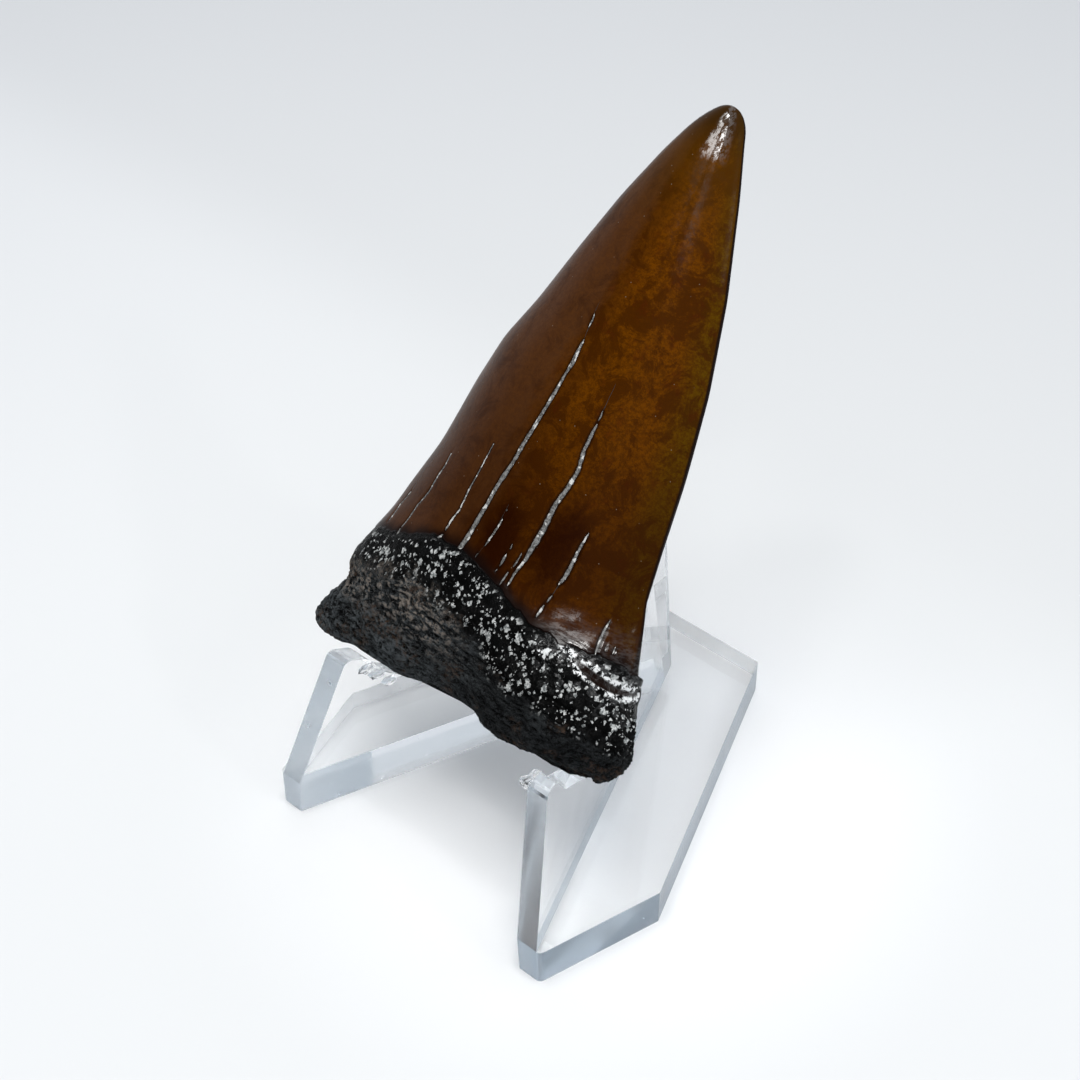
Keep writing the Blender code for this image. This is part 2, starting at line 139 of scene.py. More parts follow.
# Cracks in the enamel as rows of (across, up, width) in mm, with pale mineral inside.
CRACKS = [
    [(-3.16, 39.69, 0.10), (-3.05, 39.04, 0.17), (-3.04, 38.36, 0.12)],
    [(-2.89, 37.24, 0.14), (-2.93, 36.53, 0.34), (-2.86, 34.69, 0.45), (-3.00, 33.74, 0.26),
     (-3.08, 32.32, 0.40), (-3.29, 29.55, 0.38), (-3.60, 26.83, 0.44), (-3.81, 24.45, 0.42),
     (-4.01, 23.25, 0.55), (-4.16, 22.28, 0.42), (-4.36, 20.09, 0.46), (-4.65, 17.64, 0.55),
     (-4.84, 15.73, 0.52), (-4.99, 14.95, 0.40)],
    [(1.75, 32.27, 0.12), (1.79, 31.70, 0.18), (1.76, 31.30, 0.10)],
    [(1.80, 31.02, 0.20), (1.81, 30.04, 0.33), (1.81, 28.47, 0.38), (2.14, 26.56, 0.38),
     (1.98, 24.71, 0.48), (1.68, 22.98, 0.50), (1.70, 20.71, 0.55), (1.60, 19.47, 0.62),
     (1.51, 18.43, 0.50), (1.44, 17.40, 0.34), (1.18, 15.97, 0.26), (1.13, 14.70, 0.18)],
    [(-6.83, 25.16, 0.07), (-6.90, 22.36, 0.13), (-7.03, 20.28, 0.15), (-7.03, 18.35, 0.16),
     (-7.38, 17.17, 0.26), (-7.42, 16.13, 0.18)],
    [(-7.47, 15.70, 0.30), (-7.68, 14.98, 0.42), (-7.69, 14.67, 0.25)],
    [(-12.26, 21.94, 0.06), (-12.13, 20.74, 0.10), (-12.38, 19.60, 0.16), (-12.46, 17.90, 0.15),
     (-13.18, 16.12, 0.17), (-13.17, 14.43, 0.13), (-13.21, 13.77, 0.12)],
    [(-13.23, 13.65, 0.22), (-13.05, 13.31, 0.30), (-12.99, 13.02, 0.20)],
    [(-15.95, 16.42, 0.06), (-16.46, 14.81, 0.09), (-16.00, 13.26, 0.14)],
    [(-2.17, 20.72, 0.10), (-2.17, 20.52, 0.10)],
    [(-2.15, 19.73, 0.14), (-2.27, 18.78, 0.22), (-2.48, 17.68, 0.22), (-2.65, 16.80, 0.18)],
    [(-2.92, 15.91, 0.16), (-2.95, 15.54, 0.16)],
    [(-0.23, 18.17, 0.16), (-0.23, 17.67, 0.24)],
    [(-0.36, 17.11, 0.16), (-0.37, 16.51, 0.28), (-0.39, 15.89, 0.20)],
    [(-0.46, 15.56, 0.12), (-0.50, 15.29, 0.12)],
    [(0.92, 17.84, 0.12), (0.88, 17.12, 0.16), (0.77, 16.37, 0.22)],
    [(0.58, 15.77, 0.20), (0.54, 15.15, 0.20), (0.50, 14.43, 0.16)],
    [(5.14, 21.94, 0.12), (5.11, 21.43, 0.20), (5.04, 20.60, 0.28), (5.04, 19.41, 0.34),
     (5.03, 18.41, 0.36), (5.02, 17.31, 0.42), (4.86, 16.63, 0.25)],
    [(4.83, 15.57, 0.24), (4.75, 14.83, 0.20)],
    [(4.68, 14.54, 0.20), (4.68, 13.94, 0.30), (4.70, 13.35, 0.24)],
    [(9.67, 15.64, 0.06), (9.79, 14.75, 0.26), (10.02, 13.97, 0.30), (10.31, 13.23, 0.26),
     (10.63, 12.60, 0.16)],
    [(11.38, 13.77, 0.14), (11.59, 13.18, 0.18)],
    [(10.76, 13.55, 0.08), (10.98, 13.17, 0.10)],
]
# Dark hairlines where the cracks begin or close.
HAIRLINES = [
    [(-3.24, 40.84, 0.10), (-3.21, 39.77, 0.10)],
    [(-3.04, 38.36, 0.12), (-2.89, 37.24, 0.12)],
    [(1.69, 34.89, 0.10), (1.70, 33.72, 0.13), (1.75, 32.27, 0.10)],
    [(4.86, 16.63, 0.12), (4.83, 15.57, 0.12)],
    [(-2.20, 21.21, 0.06), (-2.35, 18.20, 0.06), (-2.95, 15.54, 0.06)],
]
# The cracks' filling is an oval strip, set in a groove of its own. Lengths are in mm, and a point
# counts as far from every crack at 9 mm. Rays from 25 mm out find the enamel's surface.
CRACK_STEP = 0.14
CRACK_DEPTH = 0.09
CRACK_EDGE = (0.12, -0.05)
CRACK_FAR = 9.0
ABOVE_TOOTH = 25.0
STRIP_SIDES = 8
STRIP_HALF_THICKNESS = 0.06
STRIP_HALF_WIDTH = 0.44
FILL_PROUD = 0.0
FILL_RAGGED = 0.12
HAIRLINE_PROUD = 0.01
HAIRLINE_RAGGED = 0.05

# Relief of the root in mm: the coarse forms as in the CAD source, the fine ones only here.
LUMP_HEIGHT = 0.34
LUMP_SIZE = (4.2, 2.6, 3.4)
FIBRE_HEIGHT = 0.26
FIBRE_SIZE = (2.4, 0.95, 1.1)
FIBRE_SHIFT = (0.0, 0.0, 7.7)
HUMP_HEIGHT = 0.5
HUMP_PLACE = (-6.0, 8.0)
HUMP_SIZE = (5.0, 4.0)
VALLEY_DEPTH = 0.7
VALLEY_PLACE = (1.0, 6.0)
VALLEY_SIZE = (3.0, 4.5)
RIM_HEIGHT = 0.36
RIM_LEAST = 0.25
RIM_GROWS = (2.0, 7.0)
RIM_DROP = 1.2
RIM_WIDTH = 0.9
BACK_PART = 3.0
STRAND_HEIGHT = 0.20
STRAND_SIZE = (2.6, 0.50, 0.6)
THREAD_HEIGHT = 0.07
THREAD_SIZE = (1.1, 0.26, 0.3)
PIT_DEPTH = 0.26
PIT_SIZE = (1.7, 0.75, 0.9)
HOLE_DEPTH = 0.08
HOLE_SIZE = (0.72, 0.34, 0.4)
POLISH_HEIGHT = 0.05
POLISH_SIZE = (0.7, 0.5, 0.5)
# The root is polished down to the first depth below the enamel line, and rough from the second on.
ROUGH_PART = (2.5, 6.0)
# A small raised oval under the enamel at the right, with a groove below it. Both fall to the right.
OVAL_HEIGHT = 0.35
OVAL_PLACE = (12.7, 12.0)
OVAL_SIZE = (1.7, 0.5)
OVAL_FALL = 0.23
GROOVE_DEPTH = 0.55
GROOVE_PLACE = (12.0, 10.9)
GROOVE_SIZE = (2.6, 0.4)
GROOVE_FALL = 0.3

# Colours of the enamel: mauve brown at the left, amber right of the middle ridge, olive at the edge.
MAUVE_OUTER = (0.080, 0.034, 0.015)
MAUVE_INNER = (0.070, 0.025, 0.007)
MAUVE_CLOUD = (0.032, 0.011, 0.004)
MAUVE_MOTTLE = (0.045, 0.017, 0.007)
AMBER_INNER = (0.066, 0.0190, 0.0012)
AMBER_OUTER = (0.108, 0.0310, 0.0004)
AMBER_CLOUD = (0.026, 0.0058, 0.0004)
AMBER_RED = (0.048, 0.0080, 0.0012)
AMBER_MOTTLE = (0.042, 0.0115, 0.0006)
OLIVE_EDGE = (0.078, 0.036, 0.0008)
LOW_CROWN = (0.018, 0.0040, 0.0004)
TIP_BROWN = (0.066, 0.026, 0.001)
TIP_END = (0.020, 0.010, 0.003)
PALE_SPECK = (0.25, 0.20, 0.15)
# Painted shadow beside the cracks.
CRACK_PAINTED_SHADOW = (0.006, 0.002, 0.0008)
ENAMEL_FOOT = (0.006, 0.0028, 0.0022)
CUTTING_EDGE = (0.008, 0.004, 0.003)
# Two dark clouds low in the crown, by place in mm, drawn out upwards.
DARK_CLOUD = (0.012, 0.0020, 0.0003)
DARK_CLOUD_PLACES = [(3.4, 20.0), (-1.6, 18.0)]
DARK_CLOUD_SQUASH = 0.45

# Colours of the root: the polished band and its flecks, the bone and what lies on it.
BAND_BLACK = (0.0018, 0.0018, 0.0018)
# The flecks are partly pale pores and partly painted highlights; the palest are painted glints.
FLECK_GREY = (0.13, 0.14, 0.14)
FLECK_PALE = (0.52, 0.53, 0.52)
FLECK_GLINT = (0.74, 0.75, 0.75)
GROOVE_BROWN = (0.011, 0.0052, 0.0036)
# The bone's grey is darkened in its pits as painted shade and lightened on its ridges, strands and net of
# lines as painted light.
BONE_PIT_SHADE = (0.0008, 0.0008, 0.0008)
BONE_RIDGE_LIGHT = (0.024, 0.026, 0.027)
BONE_STRAND_LIGHT = (0.100, 0.112, 0.118)
BONE_NET_LIGHT = (0.078, 0.086, 0.090)
BONE_RIGHT = (0.0030, 0.0030, 0.0030)
RUST = (0.080, 0.050, 0.034)
CRUST = (0.185, 0.158, 0.134)
FLECK_STRETCH = (1.0, 0.8, 0.8)
FLECK_SHIFT = (3.0, 1.0, 2.0)

# Zones of the tooth in mm: up from the root, across from the middle, or below the enamel line.
LOW_CROWN_ZONE = (36.0, 17.0)
TIP_ZONE = (46.0, 58.0)
TIP_END_ZONE = (56.0, 60.5)
TIP_SHINE_ZONE = (55.6, 56.8)
FLANK_SHINE_ZONE = (24.0, 31.0)
FOOT_SHINE_ZONE = (-3.2, -0.8)
RIGHT_END = (4.5, 8.0)
BAND_GROWS = (-12.0, 12.0)
BAND_WIDTH = (3.6, 7.0)
BAND_EDGE = (-0.8, 1.0)
BAND_WORN = 5.0
BONE_DARKENS = (-9.0, 4.0)
CRUST_FADES = (1.0, -4.0)
CRUST_STARTS = (4.6, 1.6)

# Roughness and gloss of the tooth. The coat alone shines, where its weight lets it.
BONE_ROUGHNESS = 0.65
BAND_ROUGHNESS = 0.2
FLECK_ROUGHNESS = 0.45
TOOTH_IOR = 1.52
TOOTH_SPECULAR = 0.015
COAT_IOR = 2.0
COAT_ROUGHNESS = 0.08

# Colours of the cracks' filling, with painted highlights in bright patches, and of the hairlines.
MINERAL_GREY = (0.060, 0.059, 0.056)
MINERAL_PALE = (0.20, 0.20, 0.195)
MINERAL_HIGHLIGHT = (0.55, 0.55, 0.53)
HAIRLINE_BLACK = (0.004, 0.002, 0.001)
HAIRLINE_BROWN = (0.020, 0.009, 0.004)

# Clear plastic. The faces towards the front and the rear and the upright ones of the base are sawn: a little
# frosted. Round the base they carry a painted reflection of darker surroundings, grey at the left and bluer
# towards the right.
PLASTIC_IOR = 1.49
PLASTIC_ABSORPTION = (0.80, 0.92, 1.0)
PLASTIC_DENSITY = 9.0
SAWN_ROUGHNESS = 0.22
BASE_TOP = (4.3 * MM, 4.0 * MM)
ENDWISE = (0.80, 0.93)
UPRIGHT = (0.30, 0.10)
SAWN_REFLECTION_TURNS_BLUE = (-10.0 * MM, 10.0 * MM)
SAWN_PAINTED_GREY = (0.76, 0.78, 0.80)
SAWN_PAINTED_BLUE = (0.33, 0.40, 0.47)
# Light goes back and forth inside it many times before it comes out.
LIGHT_BOUNCES = 32
CLEAR_BOUNCES = 24

# Fineness of the visual tooth.
RING_POINTS = 440
UNDERSIDE_RINGS = 34
ROOT_RINGS = 76
CROWN_RINGS = 88
TIP_RINGS = 12


def along(table, value):
    """Read a table of (position, size) pairs in mm with a smooth curve through it."""
    places = np.array([row[0] for row in table]) * MM
    sizes = np.array([row[1] for row in table]) * MM
    total = 0.0
    for offset in (-0.8, -0.4, 0.0, 0.4, 0.8):
        total = total + np.interp(value + offset * MM, places, sizes)
    return total / 5.0


def smooth_step(low, high, value):
    share = np.clip((value - low) / (high - low), 0.0, 1.0)
    return share * share * (3.0 - 2.0 * share)


def ring_levels():
    """Heights of the rings, and the share by which the underside's rounding draws each one in."""
    levels = []
    for step in range(UNDERSIDE_RINGS):
        turn = math.radians(90.0) * step / UNDERSIDE_RINGS
        levels.append((REST_GAP + UNDERSIDE_RISE * (1.0 - math.cos(turn)), 1.0 - math.sin(turn)))
    start = REST_GAP + UNDERSIDE_RISE
    levels.append((start, 0.0))
    for step in range(1, ROOT_RINGS + 1):
        levels.append((start + (ROOT_TOP - start) * step / ROOT_RINGS, 0.0))
    crown = TOOTH_HEIGHT - TIP_ROUNDING - ROOT_TOP
    for step in range(1, CROWN_RINGS + 1):
        levels.append((ROOT_TOP + crown * step / CROWN_RINGS, 0.0))
    for step in range(1, TIP_RINGS + 1):
        turn = math.radians(90.0) * step / TIP_RINGS
        levels.append((TOOTH_HEIGHT - TIP_ROUNDING * (1.0 - math.sin(turn)), 0.0))
    return levels


def smooth_tooth(level, inset, turn):
    """The smooth tooth as a grid of (across, up, out)."""
    left = along(LEFT_EDGE, level) + inset * UNDERSIDE_SIDE
    right = along(RIGHT_EDGE, level) - inset * UNDERSIDE_SIDE
    front = along(FRONT_HEIGHT, level) - inset * UNDERSIDE_FRONT
    back = REST_GAP + BACK_ROUGHNESS + inset * UNDERSIDE_BACK
    edge = np.minimum(along(EDGE_HEIGHT, level), 0.5 * (front + back))
    cosine = np.cos(turn)
    sine = np.sin(turn)
    past = np.maximum(level - TOOTH_HEIGHT + TIP_ROUNDING, 0.0) / TIP_ROUNDING
    closing = np.sqrt(np.maximum(1.0 - past ** 2, 0.004))
    across = 0.5 * (left + right) + 0.5 * (right - left) * closing * cosine
    crown = smooth_step(ENAMEL_LEVEL - 2.5 * MM, ENAMEL_LEVEL + 4.0 * MM, level)
    round_part = np.abs(sine) ** 0.8
    lens_part = 0.12 * np.abs(sine) + 0.88 * (1.0 - cosine * cosine)
    share = (1.0 - crown) * round_part + crown * lens_part
    is_front = sine >= 0.0
    out = np.where(is_front, edge + (front - edge) * share * closing,
                   edge - (edge - back) * np.abs(sine) ** 0.55 * closing)
    line = np.where(is_front, along(ENAMEL_FRONT, across), along(ENAMEL_BACK, across))
    low_part = 1.0 - smooth_step(0.0, ENAMEL_LEVEL, level)
    weight = (1.0 - low_part) * (1.0 - smooth_step(ENAMEL_LEVEL, 34.0 * MM, level))
    arch = ARCH_HEIGHT * np.exp(-((across - ARCH_MIDDLE) / ARCH_WIDTH) ** 2)
    up = level + (line - ENAMEL_LEVEL) * weight + arch * low_part
    lift = RIGHT_LIFT * smooth_step(3.0 * MM, 12.0 * MM, across)
    lift = lift - LEFT_DROP * smooth_step(4.0 * MM, 10.0 * MM, -across)
    lift = lift * np.maximum(sine, 0.0) + RIGHT_END_LIFT * smooth_step(10.0 * MM, 14.0 * MM, across)
    lift = lift - LEFT_END_DROP * smooth_step(13.0 * MM, 16.5 * MM, -across)
    up = up + lift * (1.0 - smooth_step(0.0, 8.0 * MM, level))
    return np.stack(np.broadcast_arrays(across, up, out), axis=-1)


def grid_normals(grid):
    """Outward normals of a grid of points that closes on itself along its second axis."""
    around = np.roll(grid, -1, axis=1) - np.roll(grid, 1, axis=1)
    upward = np.gradient(grid, axis=0)
    normals = np.cross(upward, around)
    return normals / np.maximum(np.linalg.norm(normals, axis=-1, keepdims=True), 1e-12)


def noise_at(place, stretch, seed=0.0):
    """Blender's gradient noise at points in mm, stretched by the given sizes in mm."""
    scaled = place / np.array(stretch) + seed
    flat = scaled.reshape(-1, 3)
    values = np.array([noise.noise(Vector(point)) for point in flat])
    return values.reshape(place.shape[:-1])


def cell_distance(place, stretch, seed):
    """Distance to the nearest of Blender's random cell points, in cells."""
    flat = (place / np.array(stretch) + seed).reshape(-1, 3)
    values = np.array([noise.voronoi(Vector(point))[0][0] for point in flat])
    return values.reshape(place.shape[:-1])


def creases(place, stretch, seed):
    """Narrow ridges where the noise passes through zero."""
    return 0.5 - 2.6 * np.abs(noise_at(place, stretch, seed))


def mound(place, middle, size, fall=0.0):
    """A smooth hump of height 1 on the root's front, whose long line falls that much per mm to the right."""
    across = place[..., 0] - middle[0]
    up = place[..., 1] - middle[1] + fall * across
    in_front = place[..., 2] >= BACK_PART
    return np.exp(-(across / size[0]) ** 2 - (up / size[1]) ** 2) * in_front


def bent_place(place):
    """The place drawn about by noise, so that strands and pits don't run straight."""
    warp = 0.7 * noise_at(place, (2.2, 1.6, 1.6), 11.3)
    bend = 0.35 * noise_at(place, (0.8, 0.6, 0.6), 31.7)
    return place + np.stack([warp + bend, warp - bend, bend - warp], axis=-1)


def root_relief(place, below):
    """Height in mm of the root's surface above the smooth form, its grain and where its groove is."""
    lumps = LUMP_HEIGHT * noise_at(place, LUMP_SIZE)
    fibres = FIBRE_HEIGHT * noise_at(place + np.array(FIBRE_SHIFT), FIBRE_SIZE)
    hump = HUMP_HEIGHT * mound(place, HUMP_PLACE, HUMP_SIZE)
    valley = VALLEY_DEPTH * mound(place, VALLEY_PLACE, VALLEY_SIZE)
    oval = OVAL_HEIGHT * mound(place, OVAL_PLACE, OVAL_SIZE, OVAL_FALL)
    groove = mound(place, GROOVE_PLACE, GROOVE_SIZE, GROOVE_FALL)
    rim_share = RIM_LEAST + (1.0 - RIM_LEAST) * smooth_step(*RIM_GROWS, place[..., 0])
    rim = RIM_HEIGHT * rim_share * np.exp(-((below - RIM_DROP) / RIM_WIDTH) ** 2)
    rough = smooth_step(*ROUGH_PART, below)
    bent = bent_place(place)
    strands = creases(bent, STRAND_SIZE, 3.1)
    threads = creases(bent, THREAD_SIZE, 5.2)
    chosen = smooth_step(-0.10, 0.10, noise_at(place, (1.8, 1.2, 1.2), 17.0))
    pits = chosen * smooth_step(0.42, 0.10, cell_distance(bent, PIT_SIZE, 2.7))
    holes = smooth_step(0.42, 0.12, cell_distance(bent, HOLE_SIZE, 9.1))
    detail = STRAND_HEIGHT * strands + THREAD_HEIGHT * threads - PIT_DEPTH * pits - HOLE_DEPTH * holes
    polish = (1.0 - rough) * POLISH_HEIGHT * noise_at(place, POLISH_SIZE, 8.0)
    fibres = fibres * (0.3 + 0.7 * rough)
    grain = rough * (0.55 * strands + 0.45 * threads - 0.9 * pits - 0.4 * holes)
    height = lumps + fibres + hump - valley + rim + rough * detail + polish + oval - GROOVE_DEPTH * groove
    return height, grain, groove


def ledge_rise(out):
    """How far the ledge's upturned front end stands above the ledge, at a distance from the back-rest."""
    places = [NOTCH_DEPTH - LEDGE_LENGTH * math.sin(REST_TILT), CREST_DEPTH, LIP_DEPTH]
    heights = [NOTCH_HEIGHT + LEDGE_LENGTH * math.cos(REST_TILT), CREST_HEIGHT, LIP_HEIGHT]
    outs = []
    rises = []
    for depth, height in zip(places, heights):
        back = NOTCH_DEPTH - depth
        high = height - NOTCH_HEIGHT
        outs.append(back * math.sin(REST_TILT) + high * math.cos(REST_TILT))
        rises.append(high * math.sin(REST_TILT) - back * math.cos(REST_TILT))
    outs[0] -= LEDGE_FILLET
    outs.append(outs[-1] + LEDGE_FILLET)
    rises.append(0.0)
    return np.interp(out, outs, rises)


def seat(grid):
    """Keep the tooth off the stand, with the resting gap between them."""
    reach = np.abs(grid[..., 0])
    start = SEAT_START + SEAT_SPREAD * grid[..., 2]
    near = smooth_step(0.0, SEAT_BLEND, reach - start) * (1.0 - smooth_step(SEAT_FADE, SEAT_END, reach))
    grid[..., 1] = np.maximum(grid[..., 1], REST_GAP + near * ledge_rise(grid[..., 2]))
    grid[..., 2] = np.maximum(grid[..., 2], REST_GAP)
    return grid


def to_row(grid):
    """From the tooth's own plane to its place on the stand."""
    across, up, out = grid[..., 0], grid[..., 1], grid[..., 2]
    y = NOTCH_DEPTH - ORIGIN_DEPTH + up * math.cos(REST_TILT) - out * math.sin(REST_TILT)
    z = NOTCH_HEIGHT + up * math.sin(REST_TILT) + out * math.cos(REST_TILT)
    return np.stack([across, y, z], axis=-1)


def add_attribute(mesh, name, values, kind="FLOAT"):
    attribute = mesh.attributes.new(name, kind, "POINT")
    key = "vector" if kind == "FLOAT_VECTOR" else "value"
    attribute.data.foreach_set(key, np.asarray(values, dtype=np.float32).ravel())


def new_piece(name, mesh, material, replaced=None):
    """A piece of the object, which may stand for a node of the frame."""
    piece = bpy.data.objects.new(name, mesh)
    bpy.context.scene.collection.objects.link(piece)
    mesh.materials.append(material)
    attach(piece, "root")
    if replaced:
        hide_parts(replaced)


def tooth_grid():
    """The smooth tooth's ring levels, its turns round each ring, and its points."""
    rows = np.array(ring_levels())
    level = rows[:, 0][:, None]
    inset = rows[:, 1][:, None]
    turn = (2.0 * math.pi * np.arange(RING_POINTS) / RING_POINTS)[None, :]
    return level, turn, smooth_tooth(level, inset, turn)


def tooth_mesh(level, turn, smooth):
    """The tooth with its relief, and what its material reads of each point."""
    normals = grid_normals(smooth)
    place = smooth / MM
    ragged = 0.30 * noise_at(place, (1.6, 1.6, 1.6), 21.0) + 0.16 * noise_at(place, (0.6, 0.6, 0.6), 4.0)
    below = (ENAMEL_LEVEL - level) / MM + ragged
    height, grain, groove = root_relief(place, below)
    on_root = smooth_step(0.0, 0.35, below)
    crack = np.where(np.sin(turn) > 0.0, crack_distance(place), CRACK_FAR)
    cut = CRACK_DEPTH * smooth_step(*CRACK_EDGE, crack)
    points = to_row(seat(smooth + normals * (height * on_root - cut)[..., None] * MM))
    count_rows, count = points.shape[:2]
    bottom = points[0].mean(axis=0)
    top = points[-1].mean(axis=0)
    verts = np.concatenate([points.reshape(-1, 3), [bottom, top]])
    index = np.arange(count_rows * count).reshape(count_rows, count)
    after = np.roll(index, -1, axis=1)
    quads = np.stack([index[:-1], index[1:], after[1:], after[:-1]], axis=-1).reshape(-1, 4)
    low = count_rows * count
    faces = quads.tolist()
    faces += [(low, int(a), int(b)) for a, b in zip(index[0], after[0])]
    faces += [(low + 1, int(b), int(a)) for a, b in zip(index[-1], after[-1])]
    mesh = bpy.data.meshes.new("tooth_detailed")
    mesh.from_pydata(verts.tolist(), [], faces)
    mesh.update()
    mesh.shade_smooth()

    def padded(values):
        """The values of all the rings' points and of the two end points."""
        full = np.broadcast_to(values, (count_rows, count) + np.shape(values)[2:])
        ends = np.stack([full[0].mean(axis=0), full[-1].mean(axis=0)])
        return np.concatenate([full.reshape((-1,) + full.shape[2:]), ends])

    add_attribute(mesh, "plane_mm", padded(place), "FLOAT_VECTOR")
    add_attribute(mesh, "below_mm", padded(below))
    add_attribute(mesh, "side", padded(np.cos(turn)))
    add_attribute(mesh, "grain", padded(grain * on_root))
    add_attribute(mesh, "crack_mm", padded(crack))
    add_attribute(mesh, "groove", padded(groove))
    return mesh


def crack_distance(place):
    """Distance in mm from each point to the nearest crack's edge, across the tooth's plane."""
    flat = place[..., :2]
    nearest = np.full(flat.shape[:-1], CRACK_FAR)
    for rows in CRACKS:
        for (x0, y0, w0), (x1, y1, w1) in zip(rows, rows[1:]):
            start = np.array((x0, y0))
            step = np.array((x1 - x0, y1 - y0))
            share = np.clip(((flat - start) @ step) / (step @ step), 0.0, 1.0)
            away = np.linalg.norm(flat - start - share[..., None] * step, axis=-1)
            nearest = np.minimum(nearest, away - 0.5 * (w0 + (w1 - w0) * share))
    return nearest


def enamel_surface(smooth):
    """The front of the smooth crown, for placing what lies on it."""
    points = to_row(smooth[:, :RING_POINTS // 2 + 1])
    count_rows, count = points.shape[:2]
    index = np.arange(count_rows * count).reshape(count_rows, count)
    quads = np.stack([index[:-1, :-1], index[:-1, 1:], index[1:, 1:], index[1:, :-1]], axis=-1)
    return BVHTree.FromPolygons(points.reshape(-1, 3).tolist(), quads.reshape(-1, 4).tolist())


def ribbon(rows, surface, seed, proud, ragged):
    """One crack as a closed strip of oval section, its top that many mm above the smooth surface."""
    rows = np.array(rows)
    steps = np.linalg.norm(np.diff(rows[:, :2], axis=0), axis=1)
    lengths = np.concatenate([[0.0], np.cumsum(steps)])
    count = max(4, int(lengths[-1] / CRACK_STEP) + 1)
    marks = np.linspace(0.0, lengths[-1], count)
    across = np.interp(marks, lengths, rows[:, 0])
    up = np.interp(marks, lengths, rows[:, 1])
    width = np.interp(marks, lengths, rows[:, 2])
    up_way = Vector((0.0, math.cos(REST_TILT), math.sin(REST_TILT)))
    out_way = Vector((0.0, -math.sin(REST_TILT), math.cos(REST_TILT)))
    verts = []
    for i in range(count):
        drift = 0.35 * ragged * noise.noise(Vector((marks[i] * 0.7, seed, 0.0)))
        drift += 0.3 * ragged * noise.noise(Vector((marks[i] * 3.1, seed, 5.0)))
        swell = 1.0 + 0.35 * noise.noise(Vector((marks[i] * 1.9, seed, 9.0)))
        end = min(i, count - 1 - i) / 2.0
        half = STRIP_HALF_WIDTH * width[i] * swell * min(1.0, 0.35 + 0.65 * end)
        above = to_row(np.array((across[i] + drift, up[i], ABOVE_TOOTH)) * MM)
        hit, normal = surface.ray_cast(Vector(above), -out_way)[:2]
        if normal.dot(out_way) < 0.0:
            normal = -normal
        sideways = normal.cross(up_way).normalized()
        for k in range(STRIP_SIDES):
            turn = 2.0 * math.pi * k / STRIP_SIDES
            rise = proud - STRIP_HALF_THICKNESS * (1.0 - math.sin(turn))
            verts.append(hit + sideways * (half * math.cos(turn) * MM) + normal * (rise * MM))
    faces = []
    for i in range(count - 1):
        here = i * STRIP_SIDES
        for k in range(STRIP_SIDES):
            after = (k + 1) % STRIP_SIDES
            faces.append((here + k, here + after, here + STRIP_SIDES + after, here + STRIP_SIDES + k))
    faces.append(tuple(range(STRIP_SIDES - 1, -1, -1)))
    faces.append(tuple((count - 1) * STRIP_SIDES + k for k in range(STRIP_SIDES)))
    return verts, faces


def ribbon_mesh(name, cracks, surface, proud, ragged):
    """All cracks of one kind as one mesh."""
    verts = []
    faces = []
    for index, rows in enumerate(cracks):
        more, loops = ribbon(rows, surface, 7.3 * index, proud, ragged)
        faces += [tuple(corner + len(verts) for corner in loop) for loop in loops]
        verts += more
    mesh = bpy.data.meshes.new(name)
    mesh.from_pydata(verts, [], faces)
    mesh.validate()
    mesh.update()
    mesh.shade_smooth()
    return mesh


